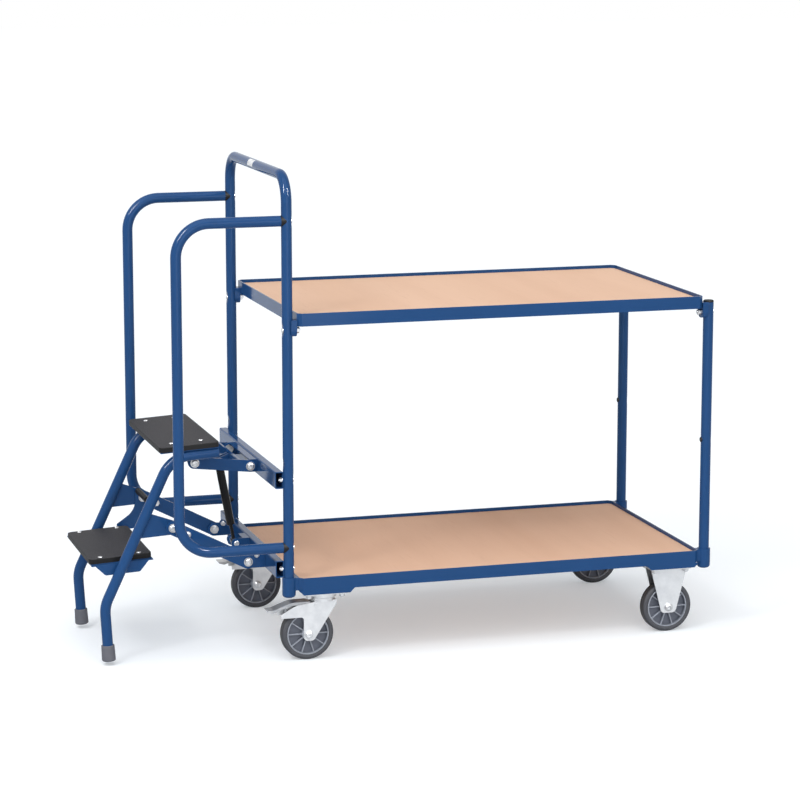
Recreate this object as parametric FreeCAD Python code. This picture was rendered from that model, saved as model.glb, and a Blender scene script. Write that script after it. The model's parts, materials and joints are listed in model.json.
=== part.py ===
# Order picking trolley: two shelves between tube posts, a push hoop with handrails, and a step unit
# that hangs on a sprung four-bar linkage. The steps are raised at rest and go down under a load.
# Millimetres. X runs along the trolley with the steps towards -X, Y goes across it, Z is up.

import FreeCAD
import Part
import math
import os

V = FreeCAD.Vector
X_AXIS = V(1, 0, 0)
Y_AXIS = V(0, 1, 0)
Z_AXIS = V(0, 0, 1)
SIDES = (("near", -1), ("far", 1))

# Clearances
fixed_gap = 0.1
running_gap = 0.05
side_gap = 0.4
open_pivot_gap = 0.7

# Tubes
tube_diameter = 25.0
tube_wall = 1.5
rail_bend_radius = 77.0
hoop_bend_radius = 60.0

# Shelves
deck_length = 1000.0
deck_width = 600.0
deck_chamfer = 10.0
rail_height = 30.0
rail_wall = 3.0
rail_flange = 28.0
board_thickness = 19.0
board_gap = 0.5
upper_rim_height = 827.0
channel_depth = 11.0
channel_width = 108.0
channel_wall = 3.0

# Posts and push hoop
post_end_gap = 20.0
post_side_inset = 20.0
push_bar_height = 1140.0
rear_post_drop = 17.0
cap_thickness = 5.0
cap_spigot = 5.0
cap_wall = 2.0
socket_diameter = 32.0
socket_depth = 44.0
socket_floor = 4.0
socket_rim = 1.0
socket_round = 8.0
socket_tab_width = 20.0
dent_radius = 60.0
dent_depth = 2.5
spare_hole_height = 475.0
plug_radius = 6.0
plug_lip = 1.5
plug_stem = 6.0

# Upper shelf saddles
saddle_width = 32.0
saddle_height = 38.0
saddle_rise = 14.0
saddle_reach = 14.0
saddle_round = 13.0
saddle_bolt_drop = 10.0

# Handrails
handrail_reach = 258.0
handrail_drop = 101.0
handrail_bottom_height = 277.0
fishmouth_seat = 2.0
fishmouth_horn = 2.0
fishmouth_spigot = 22.0

# Crossbars
crossbar_height = 40.0
crossbar_depth = 20.0
crossbar_wall = 2.0
crossbar_round = 3.0
crossbar_overhang = 5.0
upper_crossbar_level = 438.0
lower_crossbar_level = 227.0

# Casters
caster_height = 164.0
caster_end_inset = 67.0
caster_side_inset = 47.4
caster_plate_length = 105.0
caster_plate_width = 85.0
caster_plate_thickness = 3.0
caster_plate_round = 8.0
caster_hole_spacing_x = 80.0
caster_hole_spacing_y = 60.0
swivel_trail = 38.0
fork_sheet = 3.0
crown_radius = 30.0
crown_drop = 24.0
race_radius = 34.0
race_height = 12.0
race_gap = 0.5
kingpin_radius = 6.0
kingpin_head_radius = 10.0
kingpin_head_height = 3.0
cheek_corner = 6.0
fixed_cheek_half = 44.5
fixed_cheek_edge = 8.0
fixed_foot_half = 18.0
fixed_foot_drop = 14.0
fixed_foot_round = 12.0
crown_front = 29.0
crown_back = 24.0
swivel_foot_half = 12.0
swivel_foot_drop = 15.0
swivel_foot_round = 10.0
shield_reach = 104.0
shield_bend_reach = 70.0
shield_bend_drop = 7.0
shield_bend = 40.0
shield_tip_drop = 25.0
shield_depth = 35.0

# Wheels
wheel_diameter = 125.0
tyre_width = 32.0
tyre_shoulder = 7.0
tyre_taper = 2.0
rim_diameter = 101.0
rim_wall = 3.0
rim_width = 28.0
web_thickness = 4.0
hub_diameter = 30.0
hub_side_gap = 0.5
fork_side_gap = 2.5
rib_count = 10
rib_thickness = 2.4
rib_width = 22.0
axle_radius = 5.0

# Brake pedals
pedal_pivot_back = 19.0
pedal_pivot_drop = 32.0
pedal_hub_radius = 6.5
pedal_pin_radius = 3.0
pedal_width = 34.0
pedal_sheet = 3.0
pedal_flange = 4.0
pedal_length = 117.0
pedal_travel = 10.0
pedal_heel = 5.0
pedal_hump = 9.0
pedal_hump_start = 21.0
pedal_hump_end = 59.0
pedal_hump_bend = 60.0
pedal_tip = 14.0
pedal_tip_drop = 7.0
pedal_tip_bend = 8.0
shoe_width = 24.0
shoe_start = 41.0
shoe_end = 71.0
shoe_depth = 20.0
shoe_end_rise = 3.0
brake_gap = 0.3

# Linkage of the step unit, in its lowered pose with level steps
lift_angle = 9.5
upper_pivot_reach = 17.4
upper_pivot_rise = 2.0
upper_link_length = 135.0
upper_link_dip = 3.0
upper_link_half_height = 14.0
upper_link_wall = 5.0
upper_link_spread = 110.0
upper_link_cross_at = 27.0
lower_pivot_reach = 41.4
lower_pivot_drop = 1.7
lower_link_length = 201.6
lower_link_rise = 21.7
lower_link_half_height = 16.5
lower_link_wall = 5.0
link_bolt_offset = 39.0
link_pin_radius = 5.0
bracket_sheet = 4.0
bracket_ear_radius = 15.0
stop_bolt_reach = 19.4
stop_bolt_rise = 12.0
stop_lobe_radius = 8.5

# Gas spring
spring_arm = 50.0
spring_arm_drop = 13.0
spring_foot_reach = 32.4
spring_foot_rise = 7.0
spring_eye_radius = 8.0
spring_eye_width = 11.0
spring_pin_radius = 4.0
spring_ear_sheet = 4.0
spring_ear_radius = 9.0
spring_foot_half_width = 22.0
spring_foot_radius = 12.0
cylinder_diameter = 20.0
cylinder_wall = 2.0
cylinder_length = 140.0
cylinder_neck_radius = 5.0
cylinder_neck_length = 20.0
rod_radius = 4.0
rod_inside = 60.0
piston_thickness = 10.0

# Step unit, in its lowered pose
leg_beside_step = 26.5
leg_bend_radius = 75.0
leg_foot_reach = 433.5
leg_knee_height = 131.5
leg_shoulder_reach = 252.0
foot_diameter = 31.0
foot_height = 38.0
foot_sole = 6.0
foot_floor_gap = 1.0
step_board = 12.0
step_corner_round = 12.0
step_edge_round = 1.5
upper_step_height = 493.0
upper_step_reach = 138.0
upper_step_depth = 142.0
upper_step_overhang = 12.5
lower_step_height = 240.0
lower_step_depth = 148.0
lower_step_width = 300.0
step_sheet = 2.5
step_lip = 2.0
lower_tray_flange = 24.0
lower_tray_flange_slope = 22.0
lower_tray_flange_inset = 11.0
knee_plate_back = 19.2
knee_plate_front = 12.0
knee_plate_rise = 26.5
knee_plate_round = 9.0
knee_plate_slope = 31.5
knee_plate_bend = 46.0
knee_plate_foot = 21.0
step_to_knee_plate = 28.5
buffer_radius = 7.5
buffer_length = 109.0
lug_sheet = 5.0
lug_half_width = 30.0
lug_end_radius = 15.0
gusset_sheet = 5.0
gusset_rise = 42.5
upper_screw_inset_x = 36.0
upper_screw_inset_y = 40.0
lower_screw_inset_x = 28.0
lower_screw_inset_y = 14.0
screw_head_radius = 5.5
screw_head_height = 1.5
screw_radius = 2.5

# Bolt sizes: shank radius, button head and its socket, nut across flats and high, washer
M6 = {
    "shank": 3.0, "head_radius": 5.25, "head": 3.3, "socket": 4.0,
    "flats": 10.0, "nut": 5.0, "washer_radius": 6.0, "washer": 1.2}
M8 = {
    "shank": 4.0, "head_radius": 7.0, "head": 4.4, "socket": 5.0,
    "flats": 13.0, "nut": 6.5, "washer_radius": 8.0, "washer": 1.6}
M10 = {
    "shank": 5.0, "head_radius": 8.75, "head": 5.5, "socket": 6.0,
    "flats": 16.0, "nut": 8.0, "washer_radius": 10.5, "washer": 2.0}
bolt_end = 2.0
dome_head_radius = 6.5
dome_head_height = 2.2

# Worked-out sizes
tube_radius = tube_diameter / 2
bore_radius = tube_radius - tube_wall
half_length = deck_length / 2
half_width = deck_width / 2
post_x = half_length + post_end_gap
post_y = half_width - post_side_inset
handrail_top_height = push_bar_height - handrail_drop
rear_post_height = upper_rim_height - rear_post_drop
channel_bottom = caster_height
lower_rim_height = channel_bottom + channel_depth + rail_height
lower_rail_bottom = lower_rim_height - rail_height
upper_rail_bottom = upper_rim_height - rail_height
socket_top = lower_rim_height + socket_rim
post_foot = socket_top - socket_depth
caster_x = half_length - caster_end_inset
caster_y = half_width - caster_side_inset
leg_spread = lower_step_width / 2 + leg_beside_step
upper_step_width = 2 * (leg_spread + upper_step_overhang)
saddle_bolt_level = upper_rail_bottom - saddle_bolt_drop
wheel_radius = wheel_diameter / 2
rim_radius = rim_diameter / 2
fork_inner = tyre_width / 2 + fork_side_gap
fork_outer = fork_inner + fork_sheet
crown_top = caster_height - crown_drop + fork_sheet
crown_bottom = caster_height - crown_drop
plate_bottom = caster_height - caster_plate_thickness
race_bottom = plate_bottom - race_height
crossbar_face = -post_x - tube_radius - fixed_gap
crossbar_front = crossbar_face - crossbar_depth
nodes = {}


# Helpers for outlines and solids
def unit(vector):
    return vector * (1 / vector.Length)


def rounded_wire(points, radii, closed):
    """Wire through the points, with an arc of the given radius at each corner."""
    count = len(points)
    stops = []
    for index, here in enumerate(points):
        open_end = not closed and index in (0, count - 1)
        if open_end or radii[index] == 0:
            stops.append((here, None, here))
            continue
        back = unit(points[index - 1] - here)
        ahead = unit(points[(index + 1) % count] - here)
        half_turn = back.getAngle(ahead) / 2
        setback = radii[index] / math.tan(half_turn)
        middle = here + unit(back + ahead) * (radii[index] / math.sin(half_turn) - radii[index])
        stops.append((here + back * setback, middle, here + ahead * setback))
    edges = []
    for index, (enter, middle, leave) in enumerate(stops):
        if middle is not None:
            edges.append(Part.Arc(enter, middle, leave).toShape())
        if closed or index < count - 1:
            target = stops[(index + 1) % count][0]
            if (target - leave).Length > 1e-6:
                edges.append(Part.LineSegment(leave, target).toShape())
    return Part.Wire(edges)


def plate_xz(points, y_from, y_to):
    """Flat piece from an outline of (x, z, corner radius), between two y values."""
    wire = rounded_wire([V(x, y_from, z) for x, z, _ in points], [r for _, _, r in points], True)
    return Part.Face(wire).extrude(V(0, y_to - y_from, 0))


def plate_xy(points, z_from, z_to):
    """Flat piece from an outline of (x, y, corner radius), between two z values."""
    wire = rounded_wire([V(x, y, z_from) for x, y, _ in points], [r for _, _, r in points], True)
    return Part.Face(wire).extrude(V(0, 0, z_to - z_from))


def plate_yz(points, x_from, x_to):
    """Flat piece from an outline of (y, z, corner radius), between two x values."""
    wire = rounded_wire([V(x_from, y, z) for y, z, _ in points], [r for _, _, r in points], True)
    return Part.Face(wire).extrude(V(x_to - x_from, 0, 0))


def block(x_from, x_to, y_from, y_to, z_from, z_to):
    return Part.makeBox(x_to - x_from, y_to - y_from, z_to - z_from, V(x_from, y_from, z_from))


def round_x(radius, x_from, x_to, y, z):
    return Part.makeCylinder(radius, x_to - x_from, V(x_from, y, z), X_AXIS)


def round_y(radius, x, y_from, y_to, z):
    return Part.makeCylinder(radius, y_to - y_from, V(x, y_from, z), Y_AXIS)


def round_z(radius, x, y, z_from, z_to):
    return Part.makeCylinder(radius, z_to - z_from, V(x, y, z_from), Z_AXIS)


def side_span(side, inner, outer):
    """The y values of a layer that lies between two distances on one side of the middle plane."""
    return (inner, outer) if side > 0 else (-outer, -inner)


def bar_xz(start, end, radius, y_from, y_to):
    """Flat bar with round ends between two (x, z) points."""
    along = unit(V(end[0] - start[0], 0, end[1] - start[1]))
    across = V(-along.z, 0, along.x)
    first = V(start[0], y_from, start[1])
    last = V(end[0], y_from, end[1])
    edges = [
        Part.LineSegment(first + across * radius, last + across * radius).toShape(),
        Part.Arc(last + across * radius, last + along * radius, last - across * radius).toShape(),
        Part.LineSegment(last - across * radius, first - across * radius).toShape(),
        Part.Arc(first - across * radius, first - along * radius, first + across * radius).toShape(),
    ]
    return Part.Face(Part.Wire(edges)).extrude(V(0, y_to - y_from, 0))


def round_bar(points, bend, radius):
    """Solid round bar along straight runs with bends of one radius."""
    path = rounded_wire(points, [bend] * len(points), False)
    circle = Part.Wire(Part.Circle(points[0], unit(points[1] - points[0]), radius).toShape())
    return path.makePipe(Part.Face(circle))


def revolved_z(profile, x, y):
    """Turned piece about a vertical line, from an outline of (radius, z, corner radius)."""
    wire = rounded_wire([V(x + r, y, z) for r, z, _ in profile], [c for _, _, c in profile], True)
    return Part.Face(wire).revolve(V(x, y, 0), Z_AXIS, 360)


def revolved_y(profile, x, y, z):
    """Turned piece about a line across the trolley, from an outline of (radius, y, corner radius)."""
    wire = rounded_wire([V(x, y + w, z + r) for r, w, _ in profile], [c for _, _, c in profile], True)
    return Part.Face(wire).revolve(V(x, y, z), Y_AXIS, 360)


def hexagon(base, axis, flats, height):
    corner_radius = flats / math.sqrt(3)
    corners = [
        V(corner_radius * math.cos(math.pi * k / 3), corner_radius * math.sin(math.pi * k / 3), 0)
        for k in range(7)
    ]
    solid = Part.Face(Part.makePolygon(corners)).extrude(V(0, 0, height))
    solid.Placement = FreeCAD.Placement(base, FreeCAD.Rotation(Z_AXIS, axis))
    return solid


def round_head(seat, axis, radius, height):
    """Domed bolt head that stands on the seat, against the axis."""
    head = Part.makeCylinder(radius, height, seat, axis * -1)
    crown = [
        edge for edge in head.Edges if edge.isClosed() and (edge.CenterOfMass - seat).Length > height / 2]
    return head.makeFillet(height * 0.7, crown)


def through_bolt(seat, axis, grip, size):
    """Button-head bolt with two washers and a nut, its head side at seat, clamping a thickness of grip."""
    washer = size["washer"]
    shank = Part.makeCylinder(
        size["shank"], grip + 2 * washer + size["nut"] + bolt_end, seat - axis * washer, axis)
    head_washer = Part.makeCylinder(size["washer_radius"], washer, seat - axis * washer, axis)
    socket = hexagon(seat - axis * (washer + size["head"]), axis, size["socket"], size["head"] / 2)
    head = round_head(seat - axis * washer, axis, size["head_radius"], size["head"]).cut(socket)
    nut_washer = Part.makeCylinder(size["washer_radius"], washer, seat + axis * grip, axis)
    nut = hexagon(seat + axis * (grip + washer), axis, size["flats"], size["nut"])
    return shank.multiFuse([head_washer, head, nut_washer, nut])


def dome_bolt(seat, axis, reach, size):
    """Round-head bolt with its head on the seat and its shank along the axis."""
    head = round_head(seat, axis, dome_head_radius, dome_head_height)
    return head.fuse(Part.makeCylinder(size["shank"], reach, seat, axis))


def add(name, *solids):
    nodes[name] = solids[0] if len(solids) == 1 else Part.makeCompound(list(solids))


# Shelves
def chamfered_plate(inset, z_from, z_to):
    """Deck-shaped plate, smaller by the inset on every edge, chamfers included."""
    length = half_length - inset
    width = half_width - inset
    cut = deck_chamfer - inset * (2 - math.sqrt(2))
    corners = []
    for sx, sy in ((1, 1), (-1, 1), (-1, -1), (1, -1)):
        on_end = (sx * length, sy * (width - cut), 0)
        on_side = (sx * (length - cut), sy * width, 0)
        corners += [on_end, on_side] if sx * sy > 0 else [on_side, on_end]
    return plate_xy(corners, z_from, z_to)


def shelf_frame(rim):
    bottom = rim - rail_height
    pocket = chamfered_plate(rail_wall, bottom + rail_wall, rim)
    window = block(
        rail_flange - half_length, half_length - rail_flange,
        rail_flange - half_width, half_width - rail_flange, bottom, rim)
    return chamfered_plate(0, bottom, rim).cut(pocket).cut(window)


def shelf_board(rim):
    seat = rim - rail_height + rail_wall
    return chamfered_plate(rail_wall + board_gap, seat, seat + board_thickness)


def caster_channel(end, side):
    """Channel under a lower shelf corner that lowers the caster plate below the rail."""
    start = end * half_length
    stop = end * (half_length - 2 * caster_end_inset)
    step = end * channel_depth
    outline = [
        (start, lower_rail_bottom, 0),
        (stop, lower_rail_bottom, 0),
        (stop + step, channel_bottom, 0),
        (start - step, channel_bottom, 0),
    ]
    channel = plate_xz(outline, *side_span(side, half_width - channel_width, half_width))
    inner, outer = side_span(side, half_width - channel_width + channel_wall, half_width - channel_wall)
    hollow = block(
        -half_length, half_length, inner, outer, channel_bottom + channel_wall, lower_rail_bottom)
    return channel.cut(hollow)


def caster_hole_places(end, side):
    for dx in (-caster_hole_spacing_x / 2, caster_hole_spacing_x / 2):
        for dy in (-caster_hole_spacing_y / 2, caster_hole_spacing_y / 2):
            yield end * caster_x + dx, side * caster_y + dy


CORNERS = [(end, side) for end in (-1, 1) for side in (-1, 1)]
caster_hole_radius = M8["shank"] + fixed_gap

lower_frame = shelf_frame(lower_rim_height).multiFuse(
    [caster_channel(end, side) for end, side in CORNERS]).removeSplitter()
channel_holes = [
    round_z(caster_hole_radius, x, y, channel_bottom, lower_rail_bottom)
    for end, side in CORNERS for x, y in caster_hole_places(end, side)
]
add("lower_shelf_frame", lower_frame.cut(channel_holes))
add("lower_shelf_board", shelf_board(lower_rim_height))
add("upper_shelf_frame", shelf_frame(upper_rim_height))
add("upper_shelf_board", shelf_board(upper_rim_height))


# Posts, push hoop and what holds them
def dents(radius, dent_list):
    """Cutters that press a shallow hollow into a post: places are (end, side, height, facing)."""
    cutters = []
    for end, side, height, facing in dent_list:
        middle = end * post_x + facing * (tube_radius - dent_depth + dent_radius)
        cutters.append(round_y(
            radius, middle, side * post_y - tube_diameter, side * post_y + tube_diameter, height))
    return cutters


def post_tube(path, bend, dent_list, hole_list):
    """Hollow tube along a path, dented at its bolts and drilled along X at (end, side, height, radius)."""
    outside = round_bar(path, bend, tube_radius).cut(dents(dent_radius, dent_list))
    inside = round_bar(path, bend, bore_radius).cut(dents(dent_radius + tube_wall, dent_list))
    holes = [
        round_x(radius, end * post_x - tube_diameter, end * post_x + tube_diameter, side * post_y, height)
        for end, side, height, radius in hole_list
    ]
    return outside.cut(inside).cut(holes)


m8_hole = M8["shank"] + fixed_gap
m6_hole = M6["shank"] + fixed_gap
hoop_dents = []
hoop_holes = []
for name, side in SIDES:
    for height in (saddle_bolt_level, spare_hole_height):
        hoop_dents.append((-1, side, height, -1))
        hoop_holes.append((-1, side, height, m8_hole))
    for height in (handrail_top_height, handrail_bottom_height, upper_crossbar_level, lower_crossbar_level):
        hoop_dents.append((-1, side, height, 1))
        hoop_holes.append((-1, side, height, m6_hole))
hoop_path = [
    V(-post_x, -post_y, post_foot), V(-post_x, -post_y, push_bar_height),
    V(-post_x, post_y, push_bar_height), V(-post_x, post_y, post_foot),
]
add("push_hoop", post_tube(hoop_path, hoop_bend_radius, hoop_dents, hoop_holes))

rear_posts = []
post_caps = []
for name, side in SIDES:
    path = [V(post_x, side * post_y, post_foot), V(post_x, side * post_y, rear_post_height)]
    heights = (saddle_bolt_level, spare_hole_height)
    post_dents = [(1, side, height, 1) for height in heights]
    post_holes = [(1, side, height, m8_hole) for height in heights]
    rear_posts.append(post_tube(path, 0, post_dents, post_holes))
    spigot = bore_radius - fixed_gap
    cap_profile = [
        (0, rear_post_height + cap_thickness, 0),
        (tube_radius, rear_post_height + cap_thickness, cap_thickness * 0.6),
        (tube_radius, rear_post_height, 0),
        (spigot, rear_post_height, 0),
        (spigot, rear_post_height - cap_spigot, 0),
        (spigot - cap_wall, rear_post_height - cap_spigot, 0),
        (spigot - cap_wall, rear_post_height, 0),
        (0, rear_post_height, 0),
    ]
    post_caps.append(revolved_z(cap_profile, post_x, side * post_y))
add("rear_posts", *rear_posts)


def corner_socket(end, side):
    """Cup that takes a post end, with the tab that joins it to the lower shelf's end rail."""
    radius = socket_diameter / 2
    bottom = post_foot - socket_floor
    x, y = end * post_x, side * post_y
    profile = [(0, bottom, 0), (radius, bottom, socket_round), (radius, socket_top, 0), (0, socket_top, 0)]
    tab_from, tab_to = sorted((end * half_length, end * (post_x - tube_radius)))
    tab = block(
        tab_from, tab_to, y - socket_tab_width / 2, y + socket_tab_width / 2,
        lower_rail_bottom, lower_rim_height)
    bore = round_z(tube_radius + fixed_gap, x, y, post_foot, socket_top)
    return revolved_z(profile, x, y).fuse(tab).cut(bore)


def shelf_saddle(end, side):
    """Half-round cradle on an upper end rail that a post is bolted into."""
    x, y = end * post_x, side * post_y
    half = saddle_width / 2
    top = upper_rail_bottom + saddle_rise
    bottom = top - saddle_height
    outline = [
        (y - half, top, 2), (y + half, top, 2),
        (y + half, bottom, saddle_round), (y - half, bottom, saddle_round)]
    body = plate_yz(outline, end * half_length, end * (half_length + saddle_reach))
    seat = round_z(tube_radius + fixed_gap, x, y, bottom, top)
    hole = round_x(m8_hole, -post_x, post_x, y, saddle_bolt_level)
    return body.cut(seat).cut(hole)


def shelf_bolt(end, side):
    """Bolt through a post and its saddle: round head in the dent, washer and nut inside."""
    size = M8
    y = side * post_y
    seat = V(end * (post_x + tube_radius - dent_depth + side_gap), y, saddle_bolt_level)
    inward = V(-end, 0, 0)
    inner_face = V(end * half_length, y, saddle_bolt_level)
    grip = (seat - inner_face).Length
    bolt = dome_bolt(seat, inward, grip + size["washer"] + size["nut"] + bolt_end, size)
    washer = Part.makeCylinder(size["washer_radius"], size["washer"], inner_face, inward)
    nut = hexagon(inner_face + inward * size["washer"], inward, size["flats"], size["nut"])
    return bolt.multiFuse([washer, nut])


def hole_plug(end, side):
    """Plastic plug in the spare shelf hole, on the inner side of a post."""
    y = side * post_y
    inward = V(-end, 0, 0)
    start = V(end * (post_x - tube_radius + plug_stem), y, spare_hole_height)
    head = Part.makeCylinder(plug_radius, plug_stem + plug_lip, start, inward)
    post = round_z(
        tube_radius + fixed_gap, end * post_x, y,
        spare_hole_height - plug_radius, spare_hole_height + plug_radius)
    return head.cut(post).fuse(Part.makeCylinder(M8["shank"], plug_stem, start, inward))


add("corner_sockets", *[corner_socket(end, side) for end, side in CORNERS])
add("shelf_saddles", *[shelf_saddle(end, side) for end, side in CORNERS])
add("shelf_bolts", *[shelf_bolt(end, side) for end, side in CORNERS])
add("post_plugs", *post_caps, *[hole_plug(1, side) for _, side in SIDES])


# Handrails with their fish-mouth saddles
rail_end = -post_x - tube_radius - fishmouth_seat
handrail_levels = (handrail_top_height, handrail_bottom_height)


def handrail(side):
    y = side * post_y
    outer = -post_x - handrail_reach
    path = [
        V(rail_end, y, handrail_top_height), V(outer, y, handrail_top_height),
        V(outer, y, handrail_bottom_height), V(rail_end, y, handrail_bottom_height),
    ]
    return round_bar(path, rail_bend_radius, tube_radius).cut(round_bar(path, rail_bend_radius, bore_radius))


def fishmouth(side, height):
    """Plastic piece between a handrail end and the round of the post, with a spigot in the rail."""
    y = side * post_y
    collar = round_x(tube_radius, rail_end, -post_x - fishmouth_horn, y, height)
    spigot = round_x(bore_radius - fixed_gap, rail_end - fishmouth_spigot, rail_end, y, height)
    post = round_z(tube_radius + fixed_gap, -post_x, y, height - tube_diameter, height + tube_diameter)
    hole = round_x(m6_hole, rail_end - fishmouth_spigot, -post_x, y, height)
    return collar.fuse(spigot).cut(post).cut(hole)


def post_bolt(side, height, reach_to):
    """Bolt whose round head lies in a dent on the shelf side of a left post."""
    seat = V(-post_x + tube_radius - dent_depth + side_gap, side * post_y, height)
    return dome_bolt(seat, X_AXIS * -1, seat.x - reach_to, M6)


for name, side in SIDES:
    add("handrail_" + name, handrail(side))
add("handrail_saddles", *[fishmouth(side, level) for _, side in SIDES for level in handrail_levels])
add("handrail_bolts", *[
    post_bolt(side, level, rail_end - fishmouth_spigot) for _, side in SIDES for level in handrail_levels])


# Crossbars between the left posts
crossbar_end = post_y + crossbar_overhang


def rounded_section(inset, level):
    """Outline of the crossbar section, smaller by the inset."""
    low = level - crossbar_height / 2 + inset
    high = level + crossbar_height / 2 - inset
    left = crossbar_front + inset
    right = crossbar_face - inset
    radius = crossbar_round - inset
    return [(left, low, radius), (right, low, radius), (right, high, radius), (left, high, radius)]


def crossbar(level):
    outside = plate_xz(rounded_section(0, level), -crossbar_end, crossbar_end)
    inside = plate_xz(rounded_section(crossbar_wall, level), -crossbar_end, crossbar_end)
    holes = [
        round_x(m6_hole, crossbar_face - crossbar_wall, crossbar_face, side * post_y, level)
        for _, side in SIDES
    ]
    return outside.cut(inside).cut(holes)


def crossbar_bolt(side, level):
    """Bolt from a dented post into the open crossbar end, with its washer and nut."""
    inner_face = V(crossbar_face - crossbar_wall, side * post_y, level)
    inward = X_AXIS * -1
    bolt = post_bolt(side, level, inner_face.x - M6["washer"] - M6["nut"] - bolt_end)
    washer = Part.makeCylinder(crossbar_overhang, M6["washer"], inner_face, inward)
    nut = hexagon(inner_face + inward * M6["washer"], inward, M6["flats"], M6["nut"])
    return bolt.multiFuse([washer, nut])


crossbar_levels = (upper_crossbar_level, lower_crossbar_level)
add("upper_crossbar", crossbar(upper_crossbar_level))
add("lower_crossbar", crossbar(lower_crossbar_level))
add("crossbar_bolts", *[crossbar_bolt(side, level) for _, side in SIDES for level in crossbar_levels])

# Linkage geometry in the XZ plane: lowered pose, then the raised rest pose
upper_pivot = V(crossbar_front - upper_pivot_reach, 0, upper_crossbar_level + upper_pivot_rise)
lower_pivot = V(crossbar_front - lower_pivot_reach, 0, lower_crossbar_level - lower_pivot_drop)


def towards_steps(length, angle):
    """Vector towards the steps, at an angle in degrees above the horizontal."""
    return V(-length * math.cos(math.radians(angle)), 0, length * math.sin(math.radians(angle)))


def slope(vector):
    """Angle in degrees of a vector above the horizontal, seen from the near side."""
    return math.degrees(math.atan2(vector.z, vector.x))


step_pivot_low = upper_pivot + towards_steps(upper_link_length, -upper_link_dip)
knee_pivot_low = lower_pivot + towards_steps(lower_link_length, lower_link_rise)
upper_link_angle = lift_angle - upper_link_dip
step_pivot = upper_pivot + towards_steps(upper_link_length, upper_link_angle)
coupler = (knee_pivot_low - step_pivot_low).Length
base = step_pivot - lower_pivot
along_base = (base.Length ** 2 + lower_link_length ** 2 - coupler ** 2) / (2 * base.Length)
off_base = math.sqrt(lower_link_length ** 2 - along_base ** 2)
base_unit = unit(base)
knee_pivot = lower_pivot + base_unit * along_base + V(-base_unit.z, 0, base_unit.x) * off_base
step_tilt = slope(knee_pivot - step_pivot) - slope(knee_pivot_low - step_pivot_low)
lower_link_turn = slope(knee_pivot_low - lower_pivot) - slope(knee_pivot - lower_pivot)


def raised(shape):
    """Step unit piece moved from its lowered pose to the raised rest pose."""
    moved = shape.copy()
    moved.rotate(step_pivot_low, Y_AXIS * -1, step_tilt)
    moved.translate(step_pivot - step_pivot_low)
    return moved


def flat_point(vector):
    return (vector.x, vector.z)


# Upper bracket and upper link
link_inner = upper_link_spread
link_outer = upper_link_spread + upper_link_wall
ear_outer = link_inner - side_gap
ear_inner = ear_outer - bracket_sheet
link_hole = link_pin_radius + running_gap


def crossbar_ear(pivot, radius, layer):
    """Ear that stands off a crossbar and ends in a round about a pivot."""
    outline = [
        (pivot.x, pivot.z - radius, 0), (crossbar_front, pivot.z - radius, 0),
        (crossbar_front, pivot.z + radius, 0), (pivot.x, pivot.z + radius, 0)]
    return plate_xz(outline, *layer).fuse(round_y(radius, pivot.x, *layer, pivot.z))


def crossbar_bracket(pivot, radius, inner, web_end, hole_radius):
    """Two ears on a crossbar with a web between them along their top edge."""
    outer = inner + bracket_sheet
    top = pivot.z + radius
    ears = [crossbar_ear(pivot, radius, side_span(side, inner, outer)) for _, side in SIDES]
    web = block(web_end, crossbar_front, -outer, outer, top - bracket_sheet, top)
    hole = round_y(hole_radius, pivot.x, -outer, outer, pivot.z)
    return web.multiFuse(ears).removeSplitter().cut(hole)


spring_top = (
    upper_pivot + towards_steps(spring_arm, upper_link_angle)
    + towards_steps(spring_arm_drop, upper_link_angle - 90))
spring_foot = V(crossbar_front - spring_foot_reach, 0, lower_crossbar_level + spring_foot_rise)
spring_ear_inner = spring_eye_width / 2 + side_gap
spring_ear_outer = spring_ear_inner + spring_ear_sheet


def upper_link():
    """Two side bars, the plate that joins them, and the two ears of the gas spring."""
    cross_place = upper_pivot + towards_steps(upper_link_cross_at, upper_link_angle)
    half_plate = upper_link_wall / 2
    cross = block(
        cross_place.x - half_plate, cross_place.x + half_plate, -link_inner, link_inner,
        cross_place.z - upper_link_half_height, cross_place.z + upper_link_half_height)
    cross.rotate(cross_place, Y_AXIS, upper_link_angle)
    solids = [cross]
    for _, side in SIDES:
        layer = side_span(side, link_inner, link_outer)
        solids.append(bar_xz(flat_point(upper_pivot), flat_point(step_pivot), upper_link_half_height, *layer))
        ear_layer = side_span(side, spring_ear_inner, spring_ear_outer)
        solids.append(bar_xz(flat_point(cross_place), flat_point(spring_top), spring_ear_radius, *ear_layer))
    holes = [
        round_y(link_hole, pivot.x, -link_outer, link_outer, pivot.z) for pivot in (upper_pivot, step_pivot)]
    holes.append(round_y(
        spring_pin_radius + fixed_gap, spring_top.x, -spring_ear_outer, spring_ear_outer, spring_top.z))
    return solids[0].multiFuse(solids[1:]).cut(holes)


def pivot_bolt(side, pivot, inner, outer):
    """Bolt on one side of the linkage, head outwards, with a little play along its axis."""
    seat = V(pivot.x, side * (outer + side_gap), pivot.z)
    return through_bolt(seat, V(0, -side, 0), outer - inner + side_gap, M10)


add("upper_bracket", crossbar_bracket(
    upper_pivot, bracket_ear_radius, ear_inner, upper_pivot.x, link_pin_radius + fixed_gap))
add("upper_link", upper_link())

# Lower brackets, spring clevis and lower links
plate_outer = leg_spread + gusset_sheet / 2
plate_inner = leg_spread - gusset_sheet / 2
lower_link_inner = plate_outer + side_gap
lower_link_outer = lower_link_inner + lower_link_wall
stop_bolt_place = V(crossbar_front - stop_bolt_reach, 0, lower_crossbar_level + stop_bolt_rise)


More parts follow.
